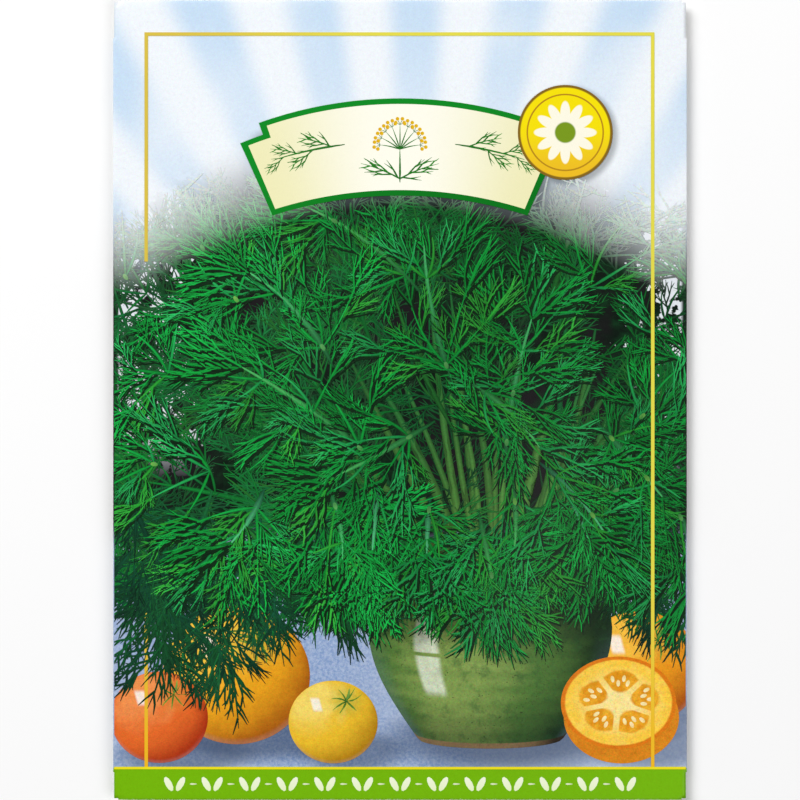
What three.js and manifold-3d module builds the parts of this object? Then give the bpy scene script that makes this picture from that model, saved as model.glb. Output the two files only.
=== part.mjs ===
// Sealed paper seed packet, lying on its back with the printed front facing up.
// Millimetres. X runs across the packet, Y up the packet, Z from the back to the front.
// The origin is under the middle of the packet, on the surface that it lies on.
// One sheet of paper is folded into the pouch. Strips of adhesive hold its flaps, and the
// dill seeds inside give it its belly.

import * as THREE from 'three';
import { ConvexGeometry } from 'three/addons/geometries/ConvexGeometry.js';
import { mergeVertices } from 'three/addons/utils/BufferGeometryUtils.js';
import Module from 'manifold-3d';

const wasm = await Module();
wasm.setup();

// The packet as a whole

const PACKET_WIDTH = 82.5;
const PACKET_HEIGHT = 115;
const PAPER = 0.12;
const GLUE = 0.08;

// The layers at the flat margins, from the surface upwards

const CLOSING_FLAP_Z = 1.1;
const BACK_Z = CLOSING_FLAP_Z + PAPER + GLUE;
const SIDE_FLAP_Z = BACK_Z + PAPER + GLUE;
const SLACK = 0.08;
const FRONT_INNER_Z = SIDE_FLAP_Z + PAPER + SLACK;
const FRONT_Z = FRONT_INNER_Z + PAPER;

// The belly that the seeds give it, fuller in the lower half

const FRONT_BELLY = 2.6;
const BACK_BELLY = 2.1;
const BELLY_CORE_X = 6;
const BELLY_EDGE_X = 33;
const BELLY_FOOT_Y = -56;
const BELLY_LOW_Y = -27;
const BELLY_HIGH_Y = -16;
const BELLY_TOP_Y = 45;

// Folds: a half turn from one layer to the other, in this many steps

const SIDE_FOLD_RADIUS = (FRONT_Z - SIDE_FLAP_Z) / 2;
const FOOT_FOLD_RADIUS = (FRONT_Z - BACK_Z) / 2;
const TOP_FOLD_RADIUS = (FRONT_Z - CLOSING_FLAP_Z) / 2;
const FOLD_STEPS = 4;

// Flaps

const SIDE_FLAP_WIDTH = 9;
const SIDE_FLAP_LOW_Y = -53.5;
const SIDE_FLAP_HIGH_Y = 52;
const SIDE_FLAP_TAPER = 0.92;
const CLOSING_FLAP_LENGTH = 14;
const CLOSING_FLAP_TAPER = 0.93;
const BACK_SIDE_INSET = 0.75;
const BACK_TOP_INSET = 0.9;

// Adhesive strips

const SIDE_GLUE_WIDTH = 5;
const SIDE_GLUE_INSET = 2.2;
const SIDE_GLUE_LENGTH = 92;
const SIDE_GLUE_Y = -1;
const TOP_GLUE_WIDTH = 7;
const TOP_GLUE_INSET = 3.4;
const TOP_GLUE_LENGTH = 72;

// Dill seeds

const SEED_LENGTH = 4.4;
const SEED_WIDTH = 2.3;
const SEED_THICKNESS = 0.9;
const SEED_SIDES = 6;
const SEED_TILT = 0.5;
const SEED_PITCH_X = 6;
const SEED_PITCH_Y = 4.9;
const SEED_SCATTER = 0.5;
const SEED_CLEARANCE = 0.3;
const SEED_DRAWS = 20251125;

// The heap that the seeds make

const HEAP_MIDDLE_Y = -16;
const HEAP_CORE_SHARE = 0.6;
const HEAP_LEAST_ROOM = 1.2;
const HEAP_RADIUS_STEP = 0.25;
const HEAP_FILL = 0.93;
const HEAP_ROWS = 10;
const HEAP_COLUMNS = 7;
const CORE_SEGMENTS = 24;
const CORE_RINGS = 10;

// Colours

const COATED_PAPER = { color: 0xf3f5ee, roughness: 0.45, metalness: 0 };
const DRY_GLUE = { color: 0xe9e3cf, roughness: 0.35, metalness: 0 };
const SEED_HUSK = { color: 0x8a6a42, roughness: 0.75, metalness: 0 };

// Lines where the sheet is divided: close together on the belly, few on the flat margins

const FRONT_HALF_X = PACKET_WIDTH / 2 - SIDE_FOLD_RADIUS;
const BACK_HALF_X = PACKET_WIDTH / 2 - BACK_SIDE_INSET;
const FRONT_LOW_Y = -PACKET_HEIGHT / 2 + FOOT_FOLD_RADIUS;
const FRONT_HIGH_Y = PACKET_HEIGHT / 2 - TOP_FOLD_RADIUS;
const BACK_HIGH_Y = PACKET_HEIGHT / 2 - TOP_FOLD_RADIUS - BACK_TOP_INSET;

function steps(from, to, count) {
  return Array.from({ length: count }, (_, i) => from + ((to - from) * i) / count);
}

const HALF_X_LINES = [
  ...steps(0, BELLY_CORE_X, 1),
  ...steps(BELLY_CORE_X, BELLY_EDGE_X, 7),
  ...steps(BELLY_EDGE_X, BACK_HALF_X, 1),
  BACK_HALF_X,
  FRONT_HALF_X,
];
const X_LINES = [...HALF_X_LINES.slice(1).reverse().map((x) => -x), ...HALF_X_LINES];
const Y_LINES = [
  FRONT_LOW_Y,
  ...steps(BELLY_FOOT_Y, SIDE_FLAP_LOW_Y, 1),
  ...steps(SIDE_FLAP_LOW_Y, BELLY_LOW_Y, 6),
  ...steps(BELLY_LOW_Y, BELLY_HIGH_Y, 2),
  ...steps(BELLY_HIGH_Y, BELLY_TOP_Y, 12),
  ...steps(BELLY_TOP_Y, SIDE_FLAP_HIGH_Y, 1),
  ...steps(SIDE_FLAP_HIGH_Y, BACK_HIGH_Y, 1),
  BACK_HIGH_Y,
  FRONT_HIGH_Y,
];

// Heights of the two panels

function bellyShare(x, y) {
  const across = 1 - THREE.MathUtils.smoothstep(Math.abs(x), BELLY_CORE_X, BELLY_EDGE_X);
  const rise = THREE.MathUtils.smoothstep(y, BELLY_FOOT_Y, BELLY_LOW_Y);
  const fall = 1 - THREE.MathUtils.smoothstep(y, BELLY_HIGH_Y, BELLY_TOP_Y);
  return across * rise * fall;
}

function frontOuterZ(x, y) {
  return FRONT_Z + FRONT_BELLY * bellyShare(x, y);
}

function backOuterZ(x, y) {
  return Math.max(0, BACK_Z - BACK_BELLY * bellyShare(x, y));
}

// A folded sheet: lattice points with a printed side and a bare side, joined into cells

class FoldedSheet {
  constructor() {
    this.points = [];
    this.cells = [];
  }

  point(printed, bare) {
    this.points.push({ printed, bare });
    return this.points.length - 1;
  }

  // rows of points; each cell runs anticlockwise as seen from the printed side
  weave(rows) {
    for (let j = 0; j + 1 < rows.length; j += 1) {
      for (let i = 0; i + 1 < rows[j].length; i += 1) {
        this.cells.push([rows[j][i], rows[j][i + 1], rows[j + 1][i + 1], rows[j + 1][i]]);
      }
    }
  }

  freeEdges() {
    const edges = new Map();
    for (const cell of this.cells) {
      cell.forEach((a, k) => {
        const b = cell[(k + 1) % cell.length];
        if (!edges.delete(`${b},${a}`)) edges.set(`${a},${b}`, [a, b]);
      });
    }
    return [...edges.values()];
  }

  geometry() {
    const positions = this.points.flatMap(({ printed, bare }) => [...printed, ...bare]);
    const printed = (id) => 2 * id;
    const bare = (id) => 2 * id + 1;
    const index = [];
    for (const [a, b, c, d] of this.cells) {
      index.push(printed(a), printed(b), printed(c), printed(a), printed(c), printed(d));
      index.push(bare(a), bare(c), bare(b), bare(a), bare(d), bare(c));
    }
    for (const [a, b] of this.freeEdges()) {
      index.push(printed(b), printed(a), bare(a), printed(b), bare(a), bare(b));
    }
    const geometry = new THREE.BufferGeometry();
    geometry.setAttribute('position', new THREE.Float32BufferAttribute(positions, 3));
    geometry.setIndex(index);
    return geometry;
  }
}

// One step round a fold: how far out from the fold's start, and how high, on either side

function foldSection(radius, step) {
  const angle = (Math.PI * step) / FOLD_STEPS;
  const inside = radius - PAPER;
  return {
    printed: { out: radius * Math.sin(angle), z: FRONT_Z - radius + radius * Math.cos(angle) },
    bare: { out: inside * Math.sin(angle), z: FRONT_Z - radius + inside * Math.cos(angle) },
  };
}

function frontPanel(sheet) {
  return Y_LINES.map((y) =>
    X_LINES.map((x) => {
      const z = frontOuterZ(x, y);
      return sheet.point([x, y, z], [x, y, z - PAPER]);
    }),
  );
}

// The foot fold and the back panel hang from the front panel's lowest row

function footFoldAndBack(sheet, front) {
  const columns = X_LINES.map((x, i) => i).filter((i) => Math.abs(X_LINES[i]) <= BACK_HALF_X);
  const rows = [columns.map((i) => front[0][i])];
  for (let step = 1; step < FOLD_STEPS; step += 1) {
    const { printed, bare } = foldSection(FOOT_FOLD_RADIUS, step);
    rows.push(columns.map((i) => sheet.point(
      [X_LINES[i], FRONT_LOW_Y - printed.out, printed.z],
      [X_LINES[i], FRONT_LOW_Y - bare.out, bare.z],
    )));
  }
  for (const y of Y_LINES.filter((line) => line <= BACK_HIGH_Y)) {
    rows.push(columns.map((i) => {
      const z = backOuterZ(X_LINES[i], y);
      return sheet.point([X_LINES[i], y, z], [X_LINES[i], y, z + PAPER]);
    }));
  }
  return rows.reverse();
}

// The closing flap goes over the top of the back panel, and narrows to its free edge

function topFoldAndClosingFlap(sheet, front) {
  const columns = X_LINES.map((x, i) => i).filter((i) => Math.abs(X_LINES[i]) <= BACK_HALF_X);
  const rows = [columns.map((i) => front[front.length - 1][i])];
  for (let step = 1; step <= FOLD_STEPS; step += 1) {
    const { printed, bare } = foldSection(TOP_FOLD_RADIUS, step);
    rows.push(columns.map((i) => sheet.point(
      [X_LINES[i], FRONT_HIGH_Y + printed.out, printed.z],
      [X_LINES[i], FRONT_HIGH_Y + bare.out, bare.z],
    )));
  }
  const y = FRONT_HIGH_Y - CLOSING_FLAP_LENGTH;
  rows.push(columns.map((i) => {
    const x = X_LINES[i] * CLOSING_FLAP_TAPER;
    return sheet.point([x, y, CLOSING_FLAP_Z], [x, y, CLOSING_FLAP_Z + PAPER]);
  }));
  return rows;
}

// A side flap folds in behind the front panel; side is 1 on the right and -1 on the left

function sideFoldAndFlap(sheet, front, side) {
  const edge = side > 0 ? X_LINES.length - 1 : 0;
  const lines = Y_LINES.map((y, j) => j).filter(
    (j) => Y_LINES[j] >= SIDE_FLAP_LOW_Y && Y_LINES[j] <= SIDE_FLAP_HIGH_Y,
  );
  const columns = [lines.map((j) => front[j][edge])];
  for (let step = 1; step <= FOLD_STEPS; step += 1) {
    const { printed, bare } = foldSection(SIDE_FOLD_RADIUS, step);
    columns.push(lines.map((j) => sheet.point(
      [side * (FRONT_HALF_X + printed.out), Y_LINES[j], printed.z],
      [side * (FRONT_HALF_X + bare.out), Y_LINES[j], bare.z],
    )));
  }
  const x = side * (FRONT_HALF_X - SIDE_FLAP_WIDTH);
  const middle = (SIDE_FLAP_LOW_Y + SIDE_FLAP_HIGH_Y) / 2;
  columns.push(lines.map((j) => {
    const y = middle + (Y_LINES[j] - middle) * SIDE_FLAP_TAPER;
    return sheet.point([x, y, SIDE_FLAP_Z], [x, y, SIDE_FLAP_Z + PAPER]);
  }));
  return side > 0 ? columns.reverse() : columns;
}

function envelopeGeometry() {
  const sheet = new FoldedSheet();
  const front = frontPanel(sheet);
  sheet.weave(front);
  sheet.weave(footFoldAndBack(sheet, front));
  sheet.weave(topFoldAndClosingFlap(sheet, front));
  sheet.weave(sideFoldAndFlap(sheet, front, 1));
  sheet.weave(sideFoldAndFlap(sheet, front, -1));
  return sheet.geometry();
}

// Adhesive

function sideGlue(side) {
  const strip = new THREE.BoxGeometry(SIDE_GLUE_WIDTH, SIDE_GLUE_LENGTH, GLUE);
  const x = PACKET_WIDTH / 2 - SIDE_GLUE_INSET - SIDE_GLUE_WIDTH / 2;
  strip.translate(side * x, SIDE_GLUE_Y, BACK_Z + PAPER + GLUE / 2);
  return strip;
}

function closingFlapGlue() {
  const strip = new THREE.BoxGeometry(TOP_GLUE_LENGTH, TOP_GLUE_WIDTH, GLUE);
  const y = PACKET_HEIGHT / 2 - TOP_GLUE_INSET - TOP_GLUE_WIDTH / 2;
  strip.translate(0, y, BACK_Z - GLUE / 2);
  return strip;
}

// A small repeatable draw, so that the seeds always fall alike

function seededDraw(seed) {
  let state = seed >>> 0;
  return () => {
    state = (state + 0x6d2b79f5) >>> 0;
    let t = Math.imul(state ^ (state >>> 15), 1 | state);
    t = (t + Math.imul(t ^ (t >>> 7), 61 | t)) ^ t;
    return ((t ^ (t >>> 14)) >>> 0) / 4294967296;
  };
}

// One seed: a flat oval with pointed ends and a ridge along both faces

function seedGeometry() {
  const rim = Array.from({ length: SEED_SIDES }, (_, k) => {
    const angle = (2 * Math.PI * k) / SEED_SIDES;
    return new THREE.Vector3(SEED_LENGTH / 2 * Math.cos(angle), SEED_WIDTH / 2 * Math.sin(angle), 0);
  });
  const ridges = [1, -1].flatMap((end) => [1, -1].map((face) =>
    new THREE.Vector3((end * SEED_LENGTH) / 4, 0, (face * SEED_THICKNESS) / 2)));
  return new ConvexGeometry([...rim, ...ridges]);
}

// The heap keeps clear of both panels; room is what the paper leaves between them

function roomAt(x, y) {
  const low = backOuterZ(x, y) + PAPER + SEED_CLEARANCE;
  const high = frontOuterZ(x, y) - PAPER - SEED_CLEARANCE;
  return { low, high, middle: (low + high) / 2, height: high - low };
}

function heapRadius(angle) {
  let radius = 0;
  const reach = (r) => roomAt(r * Math.cos(angle), HEAP_MIDDLE_Y + r * Math.sin(angle)).height;
  while (reach(radius) > HEAP_LEAST_ROOM) radius += HEAP_RADIUS_STEP;
  return radius;
}

// A flattened round core, stretched out to where the room runs out

function heapCore() {
  const core = new THREE.SphereGeometry(1, CORE_SEGMENTS, CORE_RINGS).rotateX(Math.PI / 2);
  const positions = core.attributes.position;
  for (let k = 0; k < positions.count; k += 1) {
    const [sx, sy, sz] = [positions.getX(k), positions.getY(k), positions.getZ(k)];
    const angle = Math.atan2(sy, sx);
    const radius = Math.hypot(sx, sy) * heapRadius(angle);
    const x = radius * Math.cos(angle);
    const y = HEAP_MIDDLE_Y + radius * Math.sin(angle);
    const room = roomAt(x, y);
    positions.setXYZ(k, x, y, room.middle + (sz * HEAP_CORE_SHARE * room.height) / 2);
  }
  return core;
}

// A seed lies on the core's face, turned any way and a little tilted, and is moved in
// towards the core until all of it is in the room

function seedOnCore(x, y, face, draw) {
  const room = roomAt(x, y);
  const seed = seedGeometry();
  const tilt = new THREE.Euler((draw() - 0.5) * SEED_TILT, (draw() - 0.5) * SEED_TILT, 0);
  seed.rotateZ(draw() * Math.PI).applyMatrix4(new THREE.Matrix4().makeRotationFromEuler(tilt));
  seed.translate(x, y, room.middle + (face * HEAP_CORE_SHARE * room.height) / 2);
  const positions = seed.attributes.position;
  let excess = 0;
  for (let k = 0; k < positions.count; k += 1) {
    const limits = roomAt(positions.getX(k), positions.getY(k));
    const z = positions.getZ(k);
    excess = Math.max(excess, face > 0 ? z - limits.high : limits.low - z);
  }
  return seed.translate(0, 0, -face * excess);
}

function seedSpots(draw) {
  const spots = [];
  for (let row = -HEAP_ROWS; row <= HEAP_ROWS; row += 1) {
    for (let column = -HEAP_COLUMNS; column <= HEAP_COLUMNS; column += 1) {
      const x = (column + (row % 2) / 2 + (draw() - 0.5) * SEED_SCATTER) * SEED_PITCH_X;
      const y = (row + (draw() - 0.5) * SEED_SCATTER) * SEED_PITCH_Y;
      if (Math.hypot(x, y) < HEAP_FILL * heapRadius(Math.atan2(y, x))) {
        spots.push([x, HEAP_MIDDLE_Y + y]);
      }
    }
  }
  return spots;
}

function asSolid(geometry) {
  const bare = geometry.clone();
  bare.deleteAttribute('normal');
  bare.deleteAttribute('uv');
  const merged = mergeVertices(bare, 1e-5);
  return new wasm.Manifold(new wasm.Mesh({
    numProp: 3,
    vertProperties: new Float32Array(merged.attributes.position.array),
    triVerts: new Uint32Array(merged.index.array),
  }));
}

function asGeometry(solid) {
  const { vertProperties, triVerts } = solid.getMesh();
  const geometry = new THREE.BufferGeometry();
  geometry.setAttribute('position', new THREE.BufferAttribute(vertProperties, 3));
  geometry.setIndex(new THREE.BufferAttribute(triVerts, 1));
  return geometry;
}

function seedHeap() {
  const draw = seededDraw(SEED_DRAWS);
  const spots = seedSpots(draw);
  const seeds = [1, -1].flatMap((face) => spots.map(([x, y]) => seedOnCore(x, y, face, draw)));
  const heap = seeds.reduce((solid, seed) => solid.add(asSolid(seed)), asSolid(heapCore()));
  const bodies = heap.decompose().sort((a, b) => b.volume() - a.volume());
  return asGeometry(bodies[0]);
}

// The packet

function piece(name, geometry, finish) {
  const mesh = new THREE.Mesh(geometry, new THREE.MeshStandardMaterial(finish));
  mesh.name = name;
  return mesh;
}

const packet = new THREE.Group();
packet.add(piece('envelope', envelopeGeometry(), COATED_PAPER));
packet.add(piece('side_glue_left', sideGlue(-1), DRY_GLUE));
packet.add(piece('side_glue_right', sideGlue(1), DRY_GLUE));
packet.add(piece('top_flap_glue', closingFlapGlue(), DRY_GLUE));
packet.add(piece('seeds', seedHeap(), SEED_HUSK));

export default packet;
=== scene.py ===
# Sealed paper packet of dill seeds, lying on its back on a pale table.
# The file follows the packet as it is made: the sheet is folded and printed, the picture's
# inks lie on its front, and the adhesive and the seeds are inside.

import math
import random
from types import SimpleNamespace as Record

import bmesh
import bpy
import numpy as np
from mathutils import Matrix, Vector


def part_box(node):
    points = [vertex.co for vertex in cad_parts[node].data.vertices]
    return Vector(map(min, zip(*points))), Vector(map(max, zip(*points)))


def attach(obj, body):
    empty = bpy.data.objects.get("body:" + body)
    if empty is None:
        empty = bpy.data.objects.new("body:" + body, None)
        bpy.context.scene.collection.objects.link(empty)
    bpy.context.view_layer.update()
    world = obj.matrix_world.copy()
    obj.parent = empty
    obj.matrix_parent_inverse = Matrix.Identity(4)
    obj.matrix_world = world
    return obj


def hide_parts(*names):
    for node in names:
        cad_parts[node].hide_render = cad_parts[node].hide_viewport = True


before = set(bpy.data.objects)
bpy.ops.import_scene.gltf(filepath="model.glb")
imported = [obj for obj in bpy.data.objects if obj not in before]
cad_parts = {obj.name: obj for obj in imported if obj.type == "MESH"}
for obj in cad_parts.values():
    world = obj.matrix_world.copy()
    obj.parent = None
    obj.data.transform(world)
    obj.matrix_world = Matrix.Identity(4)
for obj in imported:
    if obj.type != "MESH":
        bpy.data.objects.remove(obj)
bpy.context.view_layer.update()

# The folded sheet.
# One piece of thin coated paper, die-cut flat, then folded at the foot, the sides and the top.
# The seeds inside press it into a belly, and show faintly through its front.

MM = 0.001


def node_corners(node):
    """The low and the high corner of a node's box, in millimetres."""
    return [np.array(corner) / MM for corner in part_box(node)]


packet_low, packet_high = node_corners("envelope")
side_glue_low, side_glue_high = node_corners("side_glue_right")
top_glue_low, top_glue_high = node_corners("top_flap_glue")

PAPER = side_glue_low[2] - top_glue_high[2]
BACK_Z = top_glue_high[2]
SIDE_FLAP_Z = side_glue_high[2]
CLOSING_FLAP_Z = top_glue_low[2] - PAPER
FRONT_BELLY = 2.6
FRONT_Z = packet_high[2] - FRONT_BELLY
INK_ROOM = 0.14
BACK_BELLY = 2.1
BACK_SOFTNESS = 0.16
BACK_REST = 0.03
BELLY = Record(across=(6, 33), foot=(-56, -27), head=(-16, 45))

SIDE_RADIUS = (FRONT_Z - SIDE_FLAP_Z) / 2
FOOT_RADIUS = (FRONT_Z - BACK_Z) / 2
TOP_RADIUS = (FRONT_Z - CLOSING_FLAP_Z) / 2
FRONT_HALF = packet_high[0] - SIDE_RADIUS
FRONT_LOW = packet_low[1] + FOOT_RADIUS
FRONT_HIGH = packet_high[1] - TOP_RADIUS
BACK_INSET = 0.75
BACK_SHORTER = 0.9
BACK_HALF = packet_high[0] - BACK_INSET
BACK_HIGH = FRONT_HIGH - BACK_SHORTER
SIDE_FLAP = Record(low=-53.5, high=52, depth=9, taper=0.92)
CLOSING_FLAP = Record(depth=14, taper=0.93)

PRESSED = Record(count=46, height=0.05, reach=(19, 27), middle=-15, mark=(2.4, 1.5))
WAVES = [(0.031, 0.115, 0.4, 0.035), (-0.17, 0.062, 1.9, 0.03), (0.11, -0.21, 4.1, 0.022)]
EVEN_EDGE = 6


def ease(value, low, high):
    share = np.clip((value - low) / (high - low), 0, 1)
    return share * share * (3 - 2 * share)


def belly(x, y):
    across = 1 - ease(np.abs(x), *BELLY.across)
    return across * ease(y, *BELLY.foot) * (1 - ease(y, *BELLY.head))


def pressed_seeds(x, y):
    """The faint marks of the seeds in the front."""
    draw = random.Random(31)
    height = np.zeros_like(x)
    for _ in range(PRESSED.count):
        turn, away = draw.uniform(0, math.tau), math.sqrt(draw.random())
        off_x = x - PRESSED.reach[0] * away * math.cos(turn)
        off_y = y - PRESSED.reach[1] * away * math.sin(turn) - PRESSED.middle
        lie = draw.uniform(0, math.pi)
        along = (off_x * math.cos(lie) + off_y * math.sin(lie)) / PRESSED.mark[0]
        aside = (off_y * math.cos(lie) - off_x * math.sin(lie)) / PRESSED.mark[1]
        height += draw.uniform(0.4, 1) * np.exp(-along * along - aside * aside)
    return PRESSED.height * np.minimum(height, 1.4)


def front_height(x, y):
    """How high the printed face lies, in millimetres, over any point of the packet."""
    inside = ease(FRONT_HALF - np.abs(x), 0, EVEN_EDGE)
    inside = inside * ease(y - FRONT_LOW, 0, EVEN_EDGE) * ease(FRONT_HIGH - y, 0, EVEN_EDGE)
    waves = sum(size * np.sin(fx * x + fy * y + start) for fx, fy, start, size in WAVES)
    return FRONT_Z + (FRONT_BELLY - INK_ROOM) * belly(x, y) + inside * (waves + pressed_seeds(x, y))


def back_height(x, y):
    """The same for the printed face of the back, which settles flat on the table."""
    fallen = BACK_Z - BACK_REST - BACK_BELLY * belly(x, y)
    settled = np.maximum(fallen + BACK_SOFTNESS, 0) ** 2 / (4 * BACK_SOFTNESS)
    return BACK_REST + np.where(fallen > BACK_SOFTNESS, fallen, settled)


def fold(past, radius):
    """Past the start of a fold: whether a point is, how far out and how high, and how far on."""
    turn = np.clip(past / radius, 0, math.pi)
    beyond = np.maximum(past - math.pi * radius, 0)
    return past > 1e-6, radius * np.sin(turn) - beyond, FRONT_Z - radius * (1 - np.cos(turn)), beyond


def narrowing(flap, beyond):
    return 1 - (1 - flap.taper) * beyond / flap.depth


def folded(across, up):
    """Where a point of the flat die-cut sheet lies once the sheet is folded."""
    x, y, z = across, up, front_height(across, up)

    on_side, out, level, beyond = fold(np.abs(across) - FRONT_HALF, SIDE_RADIUS)
    middle = (SIDE_FLAP.low + SIDE_FLAP.high) / 2
    x = np.where(on_side, np.sign(across) * (FRONT_HALF + out), x)
    y = np.where(on_side, middle + (up - middle) * narrowing(SIDE_FLAP, beyond), y)
    z = np.where(on_side, level, z)

    on_back, out, level, beyond = fold(FRONT_LOW - up, FOOT_RADIUS)
    y = np.where(on_back, FRONT_LOW - out, y)
    z = np.where(on_back, np.where(beyond > 0, back_height(x, y), level), z)

    on_top, out, level, beyond = fold(up - FRONT_HIGH, TOP_RADIUS)
    x = np.where(on_top, across * narrowing(CLOSING_FLAP, beyond), x)
    y = np.where(on_top, FRONT_HIGH + out, y)
    return x, y, np.where(on_top, level, z)


FOLD_STEPS = 8
SHEET_CELL = 1.0
back_end = FRONT_LOW - math.pi * FOOT_RADIUS - (BACK_HIGH - FRONT_LOW)
side_end = FRONT_HALF + math.pi * SIDE_RADIUS + SIDE_FLAP.depth
top_end = FRONT_HIGH + math.pi * TOP_RADIUS + CLOSING_FLAP.depth


def crease_lines(start, radius, direction):
    return [start + direction * math.pi * radius * step / FOLD_STEPS for step in range(FOLD_STEPS + 1)]


def in_cut_pattern(middle):
    across, up = abs(middle.x), middle.y
    if FRONT_LOW < up < FRONT_HIGH and across > FRONT_HALF:
        return SIDE_FLAP.low < up < SIDE_FLAP.high
    if up < FRONT_LOW or up > FRONT_HIGH:
        return across < BACK_HALF
    return True


def grid_shape(columns, rows, size=1):
    """A flat grid, by its columns and rows and half its width."""
    shape = bmesh.new()
    bmesh.ops.create_grid(shape, x_segments=columns, y_segments=rows, size=size)
    return shape


def cut_through(shape, point, normal, **options):
    everything = shape.verts[:] + shape.edges[:] + shape.faces[:]
    return bmesh.ops.bisect_plane(shape, geom=everything, plane_co=point, plane_no=normal, **options)


def mesh_of(name, shape):
    mesh = bpy.data.meshes.new(name)
    shape.to_mesh(mesh)
    shape.free()
    return mesh


def points_of(mesh):
    points = np.empty(len(mesh.vertices) * 3)
    mesh.vertices.foreach_get("co", points)
    return points.reshape(-1, 3)


def add_object(name, data):
    made = bpy.data.objects.new(name, data)
    bpy.context.collection.objects.link(made)
    return made


def thicken(piece, name, thickness):
    """Gives a surface its thickness, inwards from the face that is seen."""
    layer = piece.modifiers.new(name, "SOLIDIFY")
    layer.thickness = thickness * MM
    layer.offset = -1
    return layer


sheet = grid_shape(round(2 * side_end / SHEET_CELL), round((top_end - back_end) / SHEET_CELL), 0.5)
bmesh.ops.scale(sheet, vec=(2 * side_end, top_end - back_end, 1), verts=sheet.verts)
bmesh.ops.translate(sheet, vec=(0, (top_end + back_end) / 2, 0), verts=sheet.verts)
across_cuts = [BACK_HALF, *crease_lines(FRONT_HALF, SIDE_RADIUS, 1)]
up_cuts = [SIDE_FLAP.low, SIDE_FLAP.high]
up_cuts += crease_lines(FRONT_LOW, FOOT_RADIUS, -1) + crease_lines(FRONT_HIGH, TOP_RADIUS, 1)
for normal, places in [((1, 0, 0), across_cuts), ((-1, 0, 0), across_cuts), ((0, 1, 0), up_cuts)]:
    for place in places:
        cut_through(sheet, Vector(normal) * place, normal, dist=1e-5)
waste = [face for face in sheet.faces if not in_cut_pattern(face.calc_center_median())]
bmesh.ops.delete(sheet, geom=waste, context="FACES")
for face in sheet.faces:
    face.smooth = True
    face.material_index = int(face.calc_center_median().y < FRONT_LOW - math.pi * FOOT_RADIUS / 2)

envelope_mesh = mesh_of("envelope_paper", sheet)
across, up, _ = points_of(envelope_mesh).T
envelope_mesh.vertices.foreach_set("co", (np.stack(folded(across, up), 1) * MM).ravel())
envelope_mesh.update()
envelope = add_object("envelope_paper", envelope_mesh)
thickness = thicken(envelope, "thickness", PAPER)
thickness.material_offset = 2
thickness.material_offset_rim = 2
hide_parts("envelope")
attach(envelope, "root")

# The print on the sheet.
# Inks on coated paper: a pale sky with soft rays, dark greenery behind the leaves, a pale blue
# cloth and a lime green strip at the foot. The inks keep a fine grain and a soft varnish.


def colour(code):
    """A hexadecimal sRGB colour as the linear numbers that a shader takes."""
    parts = [int(code[k : k + 2], 16) / 255 for k in (1, 3, 5)]
    return np.array([c / 12.92 if c < 0.04045 else ((c + 0.055) / 1.055) ** 2.4 for c in parts])


def shader_step(operation):
    return lambda own, *other: maths(operation, own, *other)


class Varying:
    """A number, colour or place that varies over a surface: one output of a shader node.

    It is added, multiplied and compared like a number, and each such step makes a node.
    """

    def __init__(self, made, output=0):
        self.socket, self.tree = made.outputs[output], made.id_data

    __add__, __sub__ = shader_step("ADD"), shader_step("SUBTRACT")
    __mul__, __truediv__ = shader_step("MULTIPLY"), shader_step("DIVIDE")
    __lt__, __gt__, __abs__ = shader_step("LESS_THAN"), shader_step("GREATER_THAN"), shader_step("ABSOLUTE")

    def __rsub__(self, other):
        return maths("SUBTRACT", other, self)


def fill(made, inputs):
    """Sets or links the inputs of a node, each by its name or number."""
    for key, value in inputs.items():
        if isinstance(value, Varying):
            value.tree.links.new(value.socket, made.inputs[key])
        else:
            made.inputs[key].default_value = (*colour(value), 1) if isinstance(value, str) else value


def add_node(tree, kind, inputs=(), **settings):
    made = tree.nodes.new("ShaderNode" + kind)
    for key, value in settings.items():
        setattr(made, key, value)
    fill(made, dict(inputs))
    return made


def maths(operation, *inputs, kind="Math"):
    tree = next(value.tree for value in inputs if isinstance(value, Varying))
    return Varying(add_node(tree, kind, enumerate(inputs), operation=operation))


def distance(x, y):
    return maths("SQRT", x * x + y * y)


def ramp(value, low, high):
    inputs = enumerate((value, low, high))
    return Varying(add_node(value.tree, "MapRange", inputs, interpolation_type="SMOOTHSTEP"))


def noise(place, scale, detail=2.0, roughness=0.5, output=0):
    inputs = {"Vector": place, "Scale": scale, "Detail": detail, "Roughness": roughness}
    return Varying(add_node(place.tree, "TexNoise", inputs), output)


def mixed(share, first, second):
    return Varying(add_node(share.tree, "Mix", {0: share, 6: first, 7: second}, data_type="RGBA"), 2)


def layered(base, *layers):
    """Colours laid over each other, each with the share that it takes."""
    for share, code in layers:
        base = mixed(share, base, code)
    return base


def parts(vector):
    made = add_node(vector.tree, "SeparateXYZ", {0: vector})
    return [Varying(made, output) for output in range(3)]


def millimetres(tree):
    """Where a point lies on the packet, in millimetres."""
    place = Varying(add_node(tree, "TexCoord"), "Object")
    return Varying(add_node(tree, "Mapping", {"Vector": place, "Scale": (1 / MM, 1 / MM, 1 / MM)}))


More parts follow.
